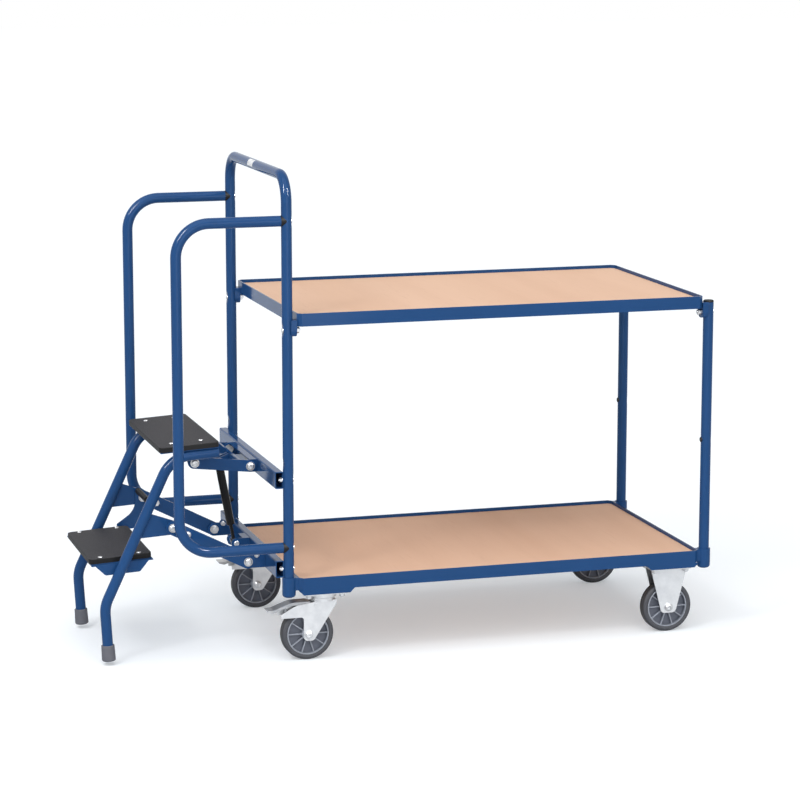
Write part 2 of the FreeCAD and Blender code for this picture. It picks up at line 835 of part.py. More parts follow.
def lower_bracket(side):
    """Plate on the lower crossbar that carries a lower link and the stop bolt above it."""
    layer = side_span(side, plate_inner, plate_outer)
    low = lower_pivot.z - lower_link_half_height
    outline = [
        (lower_pivot.x, low, 0), (crossbar_front, low, 0),
        (crossbar_front, stop_bolt_place.z, 0), (lower_pivot.x, lower_pivot.z + lower_link_half_height, 0)]
    plate = plate_xz(outline, *layer).multiFuse([
        round_y(lower_link_half_height, lower_pivot.x, *layer, lower_pivot.z),
        round_y(stop_lobe_radius, stop_bolt_place.x, *layer, stop_bolt_place.z)])
    holes = [
        round_y(link_pin_radius + fixed_gap, lower_pivot.x, *layer, lower_pivot.z),
        round_y(m6_hole, stop_bolt_place.x, *layer, stop_bolt_place.z)]
    return plate.removeSplitter().cut(holes)


def lower_link(side):
    layer = side_span(side, lower_link_inner, lower_link_outer)
    bar = bar_xz(flat_point(lower_pivot), flat_point(knee_pivot), lower_link_half_height, *layer)
    extra = knee_pivot + unit(lower_pivot - knee_pivot) * link_bolt_offset
    holes = [
        round_y(link_hole, lower_pivot.x, *layer, lower_pivot.z),
        round_y(link_pin_radius + open_pivot_gap, knee_pivot.x, *layer, knee_pivot.z),
        round_y(m8_hole, extra.x, *layer, extra.z)]
    return bar.cut(holes)


def link_bolt(side):
    """Bolt through a lower link, near its step end."""
    extra = knee_pivot + unit(lower_pivot - knee_pivot) * link_bolt_offset
    return through_bolt(V(extra.x, side * lower_link_outer, extra.z), V(0, -side, 0), lower_link_wall, M8)


stop_bolts = [
    through_bolt(stop_bolt_place + Y_AXIS * side * plate_outer, V(0, -side, 0), gusset_sheet, M6)
    for _, side in SIDES]
add("lower_brackets", *[lower_bracket(side) for _, side in SIDES])
add("spring_clevis", crossbar_bracket(
    spring_foot, spring_foot_radius, spring_foot_half_width,
    spring_foot.x + spring_foot_radius + bracket_sheet, spring_pin_radius + fixed_gap))
add("lower_links", *[lower_link(side) for _, side in SIDES])
add("link_bolts", *[link_bolt(side) for _, side in SIDES])
add(
    "bracket_bolts", *[pivot_bolt(side, upper_pivot, ear_inner, link_outer) for _, side in SIDES],
    *[pivot_bolt(side, lower_pivot, plate_inner, lower_link_outer) for _, side in SIDES], *stop_bolts)

# Gas spring, built upright at its foot and then leant over
spring_line = spring_top - spring_foot
spring_length = spring_line.Length
spring_lean = math.degrees(math.atan2(-spring_line.x, spring_line.z))
cylinder_top = spring_length - cylinder_neck_length
cylinder_bottom = cylinder_top - cylinder_length
cylinder_bore = cylinder_diameter / 2 - cylinder_wall


def leaned(shape):
    placed = shape.copy()
    placed.rotate(V(0, 0, 0), Y_AXIS * -1, spring_lean)
    placed.translate(spring_foot)
    return placed


def spring_eye(height, hole_radius):
    half = spring_eye_width / 2
    return round_y(spring_eye_radius, 0, -half, half, height), round_y(hole_radius, 0, -half, half, height)


def gas_spring_cylinder():
    eye, eye_hole = spring_eye(spring_length, spring_pin_radius + open_pivot_gap)
    radius = cylinder_diameter / 2
    shell = revolved_z([
        (0, cylinder_bottom, 0), (radius, cylinder_bottom, 3),
        (radius, cylinder_top, 3), (0, cylinder_top, 0)], 0, 0)
    neck = round_z(cylinder_neck_radius, 0, 0, cylinder_top, spring_length)
    hollow = round_z(cylinder_bore, 0, 0, cylinder_bottom + cylinder_wall * 3, cylinder_top - cylinder_wall)
    guide = round_z(rod_radius + running_gap, 0, 0, cylinder_bottom, cylinder_bottom + cylinder_wall * 3)
    return leaned(shell.multiFuse([neck, eye]).cut([hollow, guide, eye_hole]))


def gas_spring_rod():
    eye, eye_hole = spring_eye(0, spring_pin_radius + running_gap)
    top = cylinder_bottom + rod_inside
    rod = round_z(rod_radius, 0, 0, 0, top)
    piston = round_z(cylinder_bore - running_gap, 0, 0, top - piston_thickness, top)
    return leaned(rod.multiFuse([eye, piston]).cut(eye_hole))


def spring_foot_pin():
    """Stepped pin across the clevis: thin in the spring's eye, thick beside it, with a head at each end."""
    inner = spring_eye_width / 2 + side_gap
    ear = spring_foot_half_width
    outer = ear + bracket_sheet
    thick = spring_pin_radius * 1.6
    profile = [
        (0, -outer - bracket_sheet, 0), (thick, -outer - bracket_sheet, 1), (thick, -outer, 0),
        (spring_pin_radius, -outer, 0), (spring_pin_radius, -ear, 0), (thick, -ear, 0), (thick, -inner, 0),
        (spring_pin_radius, -inner, 0), (spring_pin_radius, inner, 0), (thick, inner, 0), (thick, ear, 0),
        (spring_pin_radius, ear, 0), (spring_pin_radius, outer, 0), (thick, outer, 0),
        (thick, outer + bracket_sheet, 1), (0, outer + bracket_sheet, 0)]
    return revolved_y(profile, spring_foot.x, 0, spring_foot.z)


def spring_top_pin():
    head = spring_pin_radius * 1.6
    end = spring_ear_outer + spring_ear_sheet / 2
    pin = round_y(spring_pin_radius, spring_top.x, -end, end, spring_top.z)
    heads = [
        round_y(head, spring_top.x, *side_span(side, spring_ear_outer, end), spring_top.z)
        for _, side in SIDES]
    return pin.multiFuse(heads)


add("gas_spring_cylinder", gas_spring_cylinder())
add("gas_spring_rod", gas_spring_rod())
add("spring_foot_pin", spring_foot_pin())
add("spring_top_pin", spring_top_pin())

# Step unit, drawn in its lowered pose
foot_x = -post_x - leg_foot_reach
shoulder_x = -post_x - leg_shoulder_reach
upper_tray_top = upper_step_height - step_board
run_level = upper_tray_top - step_sheet - tube_radius
upper_back = -post_x - upper_step_reach
upper_front = upper_back - upper_step_depth
knee_plate_x = knee_pivot_low.x - knee_plate_back
knee_plate_top = knee_pivot_low.z + knee_plate_rise
knee_plate_inner = plate_inner - gusset_sheet
lower_back = knee_plate_x - step_to_knee_plate
lower_front = lower_back - lower_step_depth
lower_tray_top = lower_step_height - step_board
knee = V(foot_x, 0, leg_knee_height)
shoulder = V(shoulder_x, 0, run_level)
leg_slant = unit(shoulder - knee)
upper_screw_inset = (upper_screw_inset_x, upper_screw_inset_y)
lower_screw_inset = (lower_screw_inset_x, lower_screw_inset_y)


def leg(side):
    y = side * leg_spread
    path = [
        V(foot_x, y, foot_floor_gap + foot_sole), V(foot_x, y, leg_knee_height),
        V(shoulder_x, y, run_level), V(upper_back - step_lip, y, run_level)]
    tube = round_bar(path, leg_bend_radius, tube_radius)
    return raised(tube.cut(round_bar(path, leg_bend_radius, bore_radius)))


def foot(side):
    radius = foot_diameter / 2
    wall_top = foot_floor_gap + foot_height
    profile = [
        (0, foot_floor_gap, 0), (radius + 1, foot_floor_gap, 4), (radius, wall_top, 1.5),
        (tube_radius + fixed_gap, wall_top, 0), (tube_radius + fixed_gap, foot_floor_gap + foot_sole, 0),
        (0, foot_floor_gap + foot_sole, 0)]
    return raised(revolved_z(profile, foot_x, side * leg_spread))


def step_screw_places(front, back, width, inset):
    for x in (front + inset[0], back - inset[0]):
        for y in (inset[1] - width / 2, width / 2 - inset[1]):
            yield x, y


def step(front, back, width, height, inset):
    """Step board with round corners, a soft top edge and its screw holes."""
    half = width / 2
    r = step_corner_round
    outline = [(front, -half, r), (back, -half, r), (back, half, r), (front, half, r)]
    board = plate_xy(outline, height - step_board, height)
    rim = [edge for edge in board.Edges if edge.CenterOfMass.z > height - step_edge_round]
    holes = [
        round_z(screw_radius + fixed_gap, x, y, height - step_board, height)
        for x, y in step_screw_places(front, back, width, inset)]
    return raised(board.makeFillet(step_edge_round, rim).cut(holes))


def step_screws(front, back, width, height, inset):
    screws = []
    for x, y in step_screw_places(front, back, width, inset):
        head = revolved_z([
            (0, height, 0), (screw_head_radius, height, 0),
            (screw_head_radius, height + screw_head_height, 1), (0, height + screw_head_height, 0)], x, y)
        screws.append(raised(head.fuse(round_z(screw_radius, x, y, height - step_board, height))))
    return screws


def upper_tray():
    """Sheet under the upper step with the two pivot lugs."""
    top = upper_tray_top
    bottom = top - step_sheet
    half = upper_step_width / 2 - step_lip
    pan = block(upper_front + step_lip, upper_back - step_lip, -half, half, bottom, top)
    lugs = []
    for _, side in SIDES:
        layer = side_span(side, ear_outer - lug_sheet, ear_outer)
        pivot = step_pivot_low
        outline = [
            (pivot.x - lug_half_width, bottom, 0), (pivot.x - lug_end_radius, pivot.z, 0),
            (pivot.x + lug_end_radius, pivot.z, 0), (pivot.x + lug_half_width, bottom, 0)]
        lug = plate_xz(outline, *layer).fuse(round_y(lug_end_radius, pivot.x, *layer, pivot.z))
        lugs.append(lug.cut(round_y(link_pin_radius + fixed_gap, pivot.x, *layer, pivot.z)))
    return raised(pan.multiFuse(lugs).removeSplitter())


def lower_tray():
    """Sheet under the lower step with a flange on each side and a tab that reaches the knee plate."""
    top = lower_tray_top
    bottom = top - step_sheet
    pan_half = leg_spread - tube_radius - fixed_gap
    flange_front = lower_front + lower_tray_flange_inset
    flange_back = lower_back - lower_tray_flange_inset
    low = bottom - lower_tray_flange
    flange_outline = [
        (flange_front, bottom, 0), (flange_front + lower_tray_flange_slope, low, 8),
        (flange_back - lower_tray_flange_slope, low, 8), (flange_back, bottom, 0)]
    flanges = [
        plate_xz(flange_outline, *side_span(side, pan_half - step_sheet, pan_half)) for _, side in SIDES]
    pan = block(lower_front + step_lip, lower_back, -pan_half, pan_half, bottom, top)
    tab = block(lower_back - knee_plate_foot, lower_back, pan_half, knee_plate_inner, bottom, top)
    return raised(pan.multiFuse([tab] + flanges).removeSplitter())


def knee_plate():
    """Plate with a hollow edge on the far gusset, from the lower tray past the knee pivot."""
    x, z = flat_point(knee_pivot_low)
    layer = (knee_plate_inner, plate_inner)
    left = lower_back - knee_plate_foot
    right = x + knee_plate_front
    bottom = lower_tray_top - step_sheet
    hollow = lower_step_height + (knee_plate_x - left) * math.tan(math.radians(knee_plate_slope))
    outline = [
        (left, bottom, 0), (knee_plate_x, bottom, 0), (right, z - lower_link_half_height, 8),
        (right, z + knee_plate_front, 6),
        (knee_plate_x + 1.5 * knee_plate_round, knee_plate_top, 0),
        (knee_plate_x, knee_plate_top, knee_plate_round), (knee_plate_x, hollow, knee_plate_bend),
        (left, lower_step_height, 3)]
    hole = round_y(link_pin_radius + fixed_gap, x, *layer, z)
    return raised(plate_xz(outline, *layer).cut(hole))


def buffer_bar():
    """Short round bar on the upper corner of the knee plate."""
    return raised(round_y(
        buffer_radius, knee_plate_x + knee_plate_round, knee_plate_inner - buffer_length, knee_plate_inner,
        knee_plate_top - knee_plate_round))


def gusset(side):
    """Plate from a leg to the lower pivot, its edge shaped to the leg."""
    layer = side_span(side, plate_inner, plate_outer)
    pivot = knee_pivot_low
    r = lower_link_half_height
    low = pivot.z - r
    high = pivot.z + gusset_rise
    tip = math.radians(lower_link_rise)

    def on_leg(level):
        return knee.x + leg_slant.x * (level - knee.z) / leg_slant.z

    outline = [
        (on_leg(low), low, 0), (pivot.x, low, 0),
        (pivot.x + r * math.sin(tip), pivot.z + r * math.cos(tip), 0), (on_leg(high), high, 0)]
    plate = plate_xz(outline, *layer).fuse(round_y(r, pivot.x, *layer, pivot.z))
    centre = V(knee.x, side * leg_spread, knee.z)
    leg_room = Part.makeCylinder(tube_radius + fixed_gap, (shoulder - knee).Length, centre, leg_slant)
    hole = round_y(link_pin_radius + fixed_gap, pivot.x, *layer, pivot.z)
    solids = plate.cut(leg_room).cut(hole).Solids
    return raised(max(solids, key=lambda solid: solid.CenterOfMass.x))


for name, side in SIDES:
    add("ladder_leg_" + name, leg(side))
add("ladder_feet", *[foot(side) for _, side in SIDES])
upper_step = (upper_front, upper_back, upper_step_width, upper_step_height, upper_screw_inset)
lower_step = (lower_front, lower_back, lower_step_width, lower_step_height, lower_screw_inset)
add("upper_step_board", step(*upper_step))
add("lower_step_board", step(*lower_step))
add("step_screws", *step_screws(*upper_step), *step_screws(*lower_step))
add("upper_step_tray", upper_tray())
add("lower_step_tray", lower_tray())
add("ladder_gussets", *[gusset(side) for _, side in SIDES])
add("knee_plate", knee_plate())
add("buffer_bar", buffer_bar())
add(
    "step_pivot_bolts", *[pivot_bolt(side, step_pivot, ear_outer - lug_sheet, link_outer) for _, side in SIDES],
    pivot_bolt(-1, knee_pivot, plate_inner, lower_link_outer),
    pivot_bolt(1, knee_pivot, knee_plate_inner, lower_link_outer))

# Casters, drawn about their own vertical line and then moved to the shelf corners
hub_half = fork_inner - hub_side_gap
pedal_pivot = (-pedal_pivot_back, caster_height - pedal_pivot_drop)


def caster_plate():
    half_x = caster_plate_length / 2
    half_y = caster_plate_width / 2
    r = caster_plate_round
    outline = [(-half_x, -half_y, r), (half_x, -half_y, r), (half_x, half_y, r), (-half_x, half_y, r)]
    holes = [
        round_z(caster_hole_radius, dx * caster_hole_spacing_x / 2, dy * caster_hole_spacing_y / 2,
                plate_bottom, caster_height)
        for dx, dy in CORNERS]
    return plate_xy(outline, plate_bottom, caster_height).cut(holes)


def fork_legs(outline, axle_x):
    """The two cheeks of a fork with their axle holes."""
    cheeks = []
    for _, side in SIDES:
        layer = side_span(side, fork_inner, fork_outer)
        hole = round_y(axle_radius + fixed_gap, axle_x, *layer, wheel_radius)
        cheeks.append(plate_xz(outline, *layer).cut(hole))
    return cheeks


def fixed_fork():
    """Top plate with two tapered cheeks."""
    low = wheel_radius - fixed_foot_drop
    edge = plate_bottom - fixed_cheek_edge
    outline = [
        (-fixed_foot_half, low, fixed_foot_round), (fixed_foot_half, low, fixed_foot_round),
        (fixed_cheek_half, edge, cheek_corner), (fixed_cheek_half, plate_bottom, 0),
        (-fixed_cheek_half, plate_bottom, 0), (-fixed_cheek_half, edge, cheek_corner)]
    return caster_plate().multiFuse(fork_legs(outline, 0)).removeSplitter()


def swivel_head():
    """Top plate, raceway cup and riveted kingpin of a swivel caster."""
    cup = revolved_z([
        (0, race_bottom, 0), (race_radius, race_bottom, 4),
        (race_radius, plate_bottom, 0), (0, plate_bottom, 0)], 0, 0)
    pin = round_z(kingpin_radius, 0, 0, crown_bottom - kingpin_head_height, race_bottom)
    rivet = round_z(
        kingpin_head_radius, 0, 0, crown_bottom - race_gap - kingpin_head_height, crown_bottom - race_gap)
    return caster_plate().multiFuse([cup, pin, rivet])


def swivel_fork():
    """Crown with a lower race, and two cheeks that trail the wheel and shield the brake pedal."""
    axle_x = -swivel_trail
    low = wheel_radius - swivel_foot_drop
    brace = axle_x - swivel_foot_half
    shield_low = crown_bottom - shield_depth
    outline = [
        (brace, low, swivel_foot_round), (axle_x + swivel_foot_half, low, swivel_foot_round),
        (crown_front, crown_bottom - cheek_corner, cheek_corner / 2), (crown_front, crown_bottom, 0),
        (-crown_back, crown_bottom, 0), (-shield_bend_reach, crown_bottom - shield_bend_drop, shield_bend),
        (-shield_reach, crown_bottom - shield_tip_drop, cheek_corner / 3),
        (-shield_reach, shield_low, cheek_corner / 3), (brace, shield_low, cheek_corner)]
    crown = round_z(crown_radius, 0, 0, crown_bottom, crown_top).fuse(
        block(-crown_back, crown_front, -fork_outer, fork_outer, crown_bottom, crown_top))
    race = round_z(crown_radius - 1, 0, 0, crown_top, race_bottom - race_gap)
    bore = round_z(kingpin_radius + running_gap, 0, 0, crown_bottom, race_bottom)
    pin_holes = round_y(
        pedal_pin_radius + fixed_gap, pedal_pivot[0], -fork_outer, fork_outer, pedal_pivot[1])
    cheeks = fork_legs(outline, axle_x)
    return crown.multiFuse([race] + cheeks).removeSplitter().cut([bore, pin_holes])


def pedal_strip(depth, y_from, y_to):
    """Side outline of the brake pedal, of a given depth, from its hinge to its tip."""
    x, z = pedal_pivot
    start = x - pedal_hump_start
    end = x - pedal_hump_end
    tip = x - pedal_length
    bend = tip + pedal_tip
    top = z + pedal_hump
    low = z - pedal_tip_drop
    outline = [
        (x, z + pedal_heel, 0), (start, top, pedal_tip_bend), (end, top, pedal_hump_bend),
        (bend, low, pedal_tip_bend), (tip, low, pedal_sheet / 3), (tip, low - pedal_sheet, pedal_sheet / 3),
        (bend, low - depth, pedal_tip_bend), (end, top - depth, pedal_hump_bend),
        (start, top - depth, pedal_tip_bend), (x, z + pedal_heel - pedal_sheet - pedal_hub_radius, 0)]
    return plate_xz(outline, y_from, y_to)


def brake_pedal():
    """Pressed pedal with turned-down edges, its hinge eye and a brake shoe hollowed to meet the tyre."""
    x, z = pedal_pivot
    half = pedal_width / 2
    edge = half - pedal_sheet
    low = z - shoe_depth
    shoe = plate_xz([
        (x - shoe_start, z + pedal_hump - pedal_sheet / 2, 0), (x - shoe_start, low, 0),
        (x - shoe_end, low, 0), (x - shoe_end, z + shoe_end_rise, 0)], -shoe_width / 2, shoe_width / 2)
    sides = [pedal_strip(pedal_sheet + pedal_flange, *side_span(side, edge, half)) for _, side in SIDES]
    hub = round_y(pedal_hub_radius, x, -half, half, z)
    hole = round_y(pedal_pin_radius + running_gap, x, -half, half, z)
    turn = math.radians(pedal_travel)
    dx = -swivel_trail - x
    dz = wheel_radius - z
    tyre_room = round_y(
        wheel_radius + brake_gap, x + dx * math.cos(turn) + dz * math.sin(turn), -half, half,
        z - dx * math.sin(turn) + dz * math.cos(turn))
    return pedal_strip(pedal_sheet, -half, half).multiFuse(sides + [shoe, hub]).cut([hole, tyre_room])


def pedal_pin():
    head = pedal_pin_radius * 1.7
    outer = fork_outer + 2
    pin = round_y(pedal_pin_radius, pedal_pivot[0], -outer, outer, pedal_pivot[1])
    heads = [
        round_y(head, pedal_pivot[0], *side_span(side, fork_outer, outer), pedal_pivot[1])
        for _, side in SIDES]
    return pin.multiFuse(heads)


def axle(x):
    return through_bolt(V(x, -fork_outer, wheel_radius), Y_AXIS, 2 * fork_outer, M10)


def tyre(x):
    half = tyre_width / 2
    inner = rim_radius + fixed_gap
    return revolved_y([
        (inner, tyre_taper - half, 0), (wheel_radius, -half, tyre_shoulder),
        (wheel_radius, half, tyre_shoulder), (inner, half - tyre_taper, 0)], x, 0, wheel_radius)


def wheel_centre(x):
    """Rim, web and hub of the wheel, braced by radial ribs on both sides."""
    half = rim_width / 2
    inner = rim_radius - rim_wall
    profile = [
        (0, -hub_half, 0), (hub_diameter / 2, -hub_half, 1.5), (hub_diameter / 2, -web_thickness / 2, 0),
        (inner, -web_thickness / 2, 0), (inner, -half, 0), (rim_radius, -half, 1.5), (rim_radius, half, 1.5),
        (inner, half, 0), (inner, web_thickness / 2, 0), (hub_diameter / 2, web_thickness / 2, 0),
        (hub_diameter / 2, hub_half, 1.5), (0, hub_half, 0)]
    body = revolved_y(profile, x, 0, wheel_radius)
    ribs = []
    for index in range(rib_count):
        rib = block(
            x - rib_thickness / 2, x + rib_thickness / 2, -rib_width / 2, rib_width / 2,
            wheel_radius + hub_diameter / 2 - 1, wheel_radius + inner + 1)
        rib.rotate(V(x, 0, wheel_radius), Y_AXIS, 360 / rib_count * (index + 0.5))
        ribs.append(rib)
    bore = round_y(axle_radius + running_gap, x, -hub_half, hub_half, wheel_radius)
    return body.multiFuse(ribs).cut(bore)


def at_corner(shape, end, side):
    placed = shape.copy()
    placed.translate(V(end * caster_x, side * caster_y, 0))
    return placed


def caster_bolt(x, y):
    return through_bolt(
        V(x, y, channel_bottom + channel_wall), Z_AXIS * -1, channel_wall + caster_plate_thickness, M8)


add("caster_bolts", *[caster_bolt(x, y) for end, side in CORNERS for x, y in caster_hole_places(end, side)])
add("swivel_heads", *[at_corner(swivel_head(), -1, side) for _, side in SIDES])
add("fixed_axles", *[at_corner(axle(0), 1, side) for _, side in SIDES])
drawn_once = {
    "fixed_fork": (1, fixed_fork()),
    "fixed_tyre": (1, tyre(0)),
    "fixed_wheel": (1, wheel_centre(0)),
    "swivel_fork": (-1, swivel_fork()),
    "swivel_pins": (-1, Part.makeCompound([axle(-swivel_trail), pedal_pin()])),
    "brake_pedal": (-1, brake_pedal()),
    "swivel_tyre": (-1, tyre(-swivel_trail)),
    "swivel_wheel": (-1, wheel_centre(-swivel_trail)),
}
for kind, (end, shape) in drawn_once.items():
    for name, side in SIDES:
        add(kind + "_" + name, at_corner(shape, end, side))

# The origin is on the floor, under the middle of the trolley's overall length
reach = FreeCAD.BoundBox()
for shape in nodes.values():
    reach.add(shape.optimalBoundingBox(False))
origin_shift = V(-reach.Center.x, 0, 0)

os.makedirs("parts", exist_ok=True)
for name, shape in nodes.items():
    shape.translate(origin_shift)
    shape.exportStep("parts/" + name + ".step")
print("nodes", len(nodes), "size", round(reach.XLength, 1), round(reach.YLength, 1), round(reach.ZLength, 1))
print("step tilt", round(step_tilt, 3), "lower link turn", round(lower_link_turn, 3))
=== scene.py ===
# Studio picture of the order picking trolley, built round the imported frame. Metres.

import bmesh
import bpy
import json
import math
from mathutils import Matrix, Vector


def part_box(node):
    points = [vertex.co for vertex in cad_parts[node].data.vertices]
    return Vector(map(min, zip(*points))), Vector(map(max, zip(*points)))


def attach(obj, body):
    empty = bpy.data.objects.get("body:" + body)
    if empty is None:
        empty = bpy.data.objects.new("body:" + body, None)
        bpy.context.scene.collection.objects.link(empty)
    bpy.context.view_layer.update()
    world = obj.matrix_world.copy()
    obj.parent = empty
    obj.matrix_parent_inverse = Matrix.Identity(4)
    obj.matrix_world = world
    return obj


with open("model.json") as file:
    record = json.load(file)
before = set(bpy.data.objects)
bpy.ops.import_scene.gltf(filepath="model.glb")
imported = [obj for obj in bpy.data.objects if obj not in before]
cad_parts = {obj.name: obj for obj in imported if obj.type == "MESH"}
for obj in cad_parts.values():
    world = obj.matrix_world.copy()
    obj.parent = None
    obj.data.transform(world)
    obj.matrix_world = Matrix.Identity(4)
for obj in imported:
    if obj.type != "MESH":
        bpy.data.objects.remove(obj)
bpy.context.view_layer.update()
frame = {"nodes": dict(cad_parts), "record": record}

# Places taken from the frame: the floor under the middle of the shelves, and the middle of a wheel
board_low, board_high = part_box("lower_shelf_board")
floor_centre = Vector(((board_low.x + board_high.x) / 2, 0, 0))
tyre_low, tyre_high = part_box("fixed_tyre_far")
wheel_middle_y = (tyre_low.y + tyre_high.y) / 2

# Camera, placed from the floor under the middle of the shelves
camera_back = 6.474
camera_left = 2.092
camera_height = 1.783
camera_azimuth = math.radians(16.56)
camera_pitch = math.radians(10.28)
camera_lens = 126.9
sensor_width = 36.0

# Lamps, placed from the same point and aimed at a height above it
aim_height = 0.5
ceiling_place = (-1.1, -1.7, 4.0)
ceiling_spread = math.radians(70)
ceiling_strength = 2.0
key_place = (-3.3, -2.6, 4.0)
key_size = 0.8
key_power = 45
fill_place = (-0.3, -4.6, 1.2)
fill_size = 2.4
fill_power = 45
left_strip_place = (-3.9, -2.0, 3.9)
right_strip_place = (1.6, -3.4, 3.6)
strip_width = 0.6
strip_length = 2.4
strip_power = 600
floor_size = 60

# Label round the push bar; its angles count from the level at the step side, up over the top
label_length = 0.050
label_middle_y = 0.020
label_sheet = 0.0003
label_start = math.radians(-15)
label_sweep = math.radians(85)
label_facets = 12

# Windows over which a mask goes from 0 to 1
cloud_window = (0.35, 0.65)
grain_window = (0.30, 0.70)
pore_window = (0.62, 0.72)
facing_up_window = (0.5, 0.9)
facing_side_window = (0.35, 0.75)
rib_window = (0.004, 0.011)

# Stretch of noise along each axis, with grain and pores that run along Y, and height of the fine bump
EVEN = (1, 1, 1)
grain_stretch = (9, 0.7, 9)
pore_stretch = (60, 3, 60)
bump_height = 0.0004

# Colours, linear
BLUE = (0.017, 0.067, 0.193, 1)
BLUE_DEEP = (0.015, 0.062, 0.179, 1)
BEECH = (0.762, 0.505, 0.360, 1)
BEECH_STREAK = (0.712, 0.458, 0.318, 1)
STEP_BLACK = (0.012, 0.012, 0.014, 1)
STEP_GRAIN = (0.046, 0.045, 0.052, 1)
STEP_EDGE = (0.010, 0.010, 0.011, 1)
ZINC = (0.610, 0.616, 0.628, 1)
ZINC_CLOUD = (0.540, 0.547, 0.562, 1)
BOLT = (0.420, 0.425, 0.435, 1)
PEDAL = (0.300, 0.310, 0.325, 1)
BLACK = (0.010, 0.010, 0.011, 1)
TREAD = (0.024, 0.025, 0.029, 1)
SIDEWALL = (0.050, 0.052, 0.062, 1)
# Painted shade for the recessed web of a wheel, and painted light for its ribs, rim and hub
WHEEL_WEB_PAINTED_SHADE = (0.125, 0.137, 0.172, 1)
WHEEL_RIB_PAINTED_LIGHT = (0.300, 0.322, 0.370, 1)
FOOT = (0.098, 0.102, 0.124, 1)
FOOT_DUST = (0.112, 0.115, 0.134, 1)
LABEL = (0.800, 0.810, 0.820, 1)
LABEL_DUST = (0.740, 0.750, 0.765, 1)
FLOOR = (0.700, 0.720, 0.735, 1)
FLOOR_GLOW = (0.325, 0.340, 0.355, 1)
STUDIO_GREY = (0.420, 0.430, 0.440, 1)
WHITE = (1, 1, 1, 1)


# Node helpers
def feed(tree, socket, source):
    """Link a socket to another one, or give it a constant."""
    if isinstance(source, bpy.types.NodeSocket):
        tree.links.new(source, socket)
    else:
        socket.default_value = source


def worked_value(tree, operation, *values):
    """Result of a Math node on sockets and numbers."""
    node = tree.nodes.new("ShaderNodeMath")
    node.operation = operation
    for socket, value in zip(node.inputs, values):
        feed(tree, socket, value)
    return node.outputs["Value"]


def windowed_value(tree, value, window):
    """Value that goes from 0 to 1 as the given one crosses a window."""
    node = tree.nodes.new("ShaderNodeMapRange")
    node.inputs["From Min"].default_value, node.inputs["From Max"].default_value = window
    tree.links.new(value, node.inputs["Value"])
    return node.outputs["Result"]


def mixed_colour(tree, mask, first, second):
    """Colour that goes from the first to the second with a mask; each is a colour or a socket."""
    mix = tree.nodes.new("ShaderNodeMix")
    mix.data_type = "RGBA"
    for label, source in (("Factor", mask), ("A", first), ("B", second)):
        feed(tree, mix.inputs[label], source)
    return mix.outputs["Result"]


def coordinate_parts(tree, kind):
    """X, Y and Z of the Object or Normal coordinates of a surface."""
    coordinates = tree.nodes.new("ShaderNodeTexCoord")
    parts = tree.nodes.new("ShaderNodeSeparateXYZ")
    tree.links.new(coordinates.outputs[kind], parts.inputs["Vector"])
    return parts.outputs


def object_noise(tree, scale, stretch, detail):
    """Noise on object coordinates, stretched by the given factors along each axis."""
    coordinates = tree.nodes.new("ShaderNodeTexCoord")
    mapping = tree.nodes.new("ShaderNodeMapping")
    mapping.inputs["Scale"].default_value = stretch
    noise = tree.nodes.new("ShaderNodeTexNoise")
    noise.inputs["Detail"].default_value = detail
    tree.links.new(coordinates.outputs["Object"], mapping.inputs["Vector"])
    tree.links.new(mapping.outputs["Vector"], noise.inputs["Vector"])
    tree.links.new(scale, noise.inputs["Scale"])
    return noise.outputs["Fac"]


# Shared shader groups
def new_group(name, inputs, **outputs):
    """Node group with float inputs and outputs of the given kinds; returns the tree and its two ends."""
    tree = bpy.data.node_groups.new(name, "ShaderNodeTree")
    for label in inputs:
        tree.interface.new_socket(name=label, in_out="INPUT", socket_type="NodeSocketFloat")
    for label, kind in outputs.items():
        tree.interface.new_socket(name=label, in_out="OUTPUT", socket_type=kind)
    return tree, tree.nodes.new("NodeGroupInput"), tree.nodes.new("NodeGroupOutput")


def mask_group(name, stretch, detail, window):
    """Group with a mask of noise."""
    tree, start, end = new_group(name, ["Scale"], Mask="NodeSocketFloat")
    noise = object_noise(tree, start.outputs["Scale"], stretch, detail)
    tree.links.new(windowed_value(tree, noise, window), end.inputs["Mask"])
    return tree


def fine_surface_group():
    """Group with the normal of a finely roughened surface."""
    tree, start, end = new_group("fine_surface", ["Scale", "Strength"], Normal="NodeSocketVector")
    bump = tree.nodes.new("ShaderNodeBump")
    bump.inputs["Distance"].default_value = bump_height
    noise = object_noise(tree, start.outputs["Scale"], EVEN, detail=2)
    tree.links.new(noise, bump.inputs["Height"])
    tree.links.new(start.outputs["Strength"], bump.inputs["Strength"])
    tree.links.new(bump.outputs["Normal"], end.inputs["Normal"])
    return tree


def facing_group():
    """Group with two masks: faces that look up, and faces that look sideways out of a wheel."""
    tree, _, end = new_group("facing", [], Up="NodeSocketFloat", Side="NodeSocketFloat")
    normal = coordinate_parts(tree, "Normal")
    sideways = worked_value(tree, "ABSOLUTE", normal["Y"])
    tree.links.new(windowed_value(tree, normal["Z"], facing_up_window), end.inputs["Up"])
    tree.links.new(windowed_value(tree, sideways, facing_side_window), end.inputs["Side"])
    return tree


def wheel_recess_shade_group():
    """Group with a mask of painted shade and light: 0 on the recessed web of a wheel, in painted shade,
    to 1 at the outer edges of its ribs, in painted light.
    """
    tree, _, end = new_group("wheel_recess_shade", [], Mask="NodeSocketFloat")
    across = worked_value(tree, "ABSOLUTE", coordinate_parts(tree, "Object")["Y"])
    beside = worked_value(tree, "ABSOLUTE", worked_value(tree, "SUBTRACT", across, wheel_middle_y))
    tree.links.new(windowed_value(tree, beside, rib_window), end.inputs["Mask"])
    return tree


soft_clouds = mask_group("soft_clouds", EVEN, detail=3, window=cloud_window)
board_grain = mask_group("board_grain", grain_stretch, detail=5, window=grain_window)
board_pores = mask_group("board_pores", pore_stretch, detail=2, window=pore_window)
fine_surface = fine_surface_group()
facing = facing_group()
wheel_recess_shade = wheel_recess_shade_group()


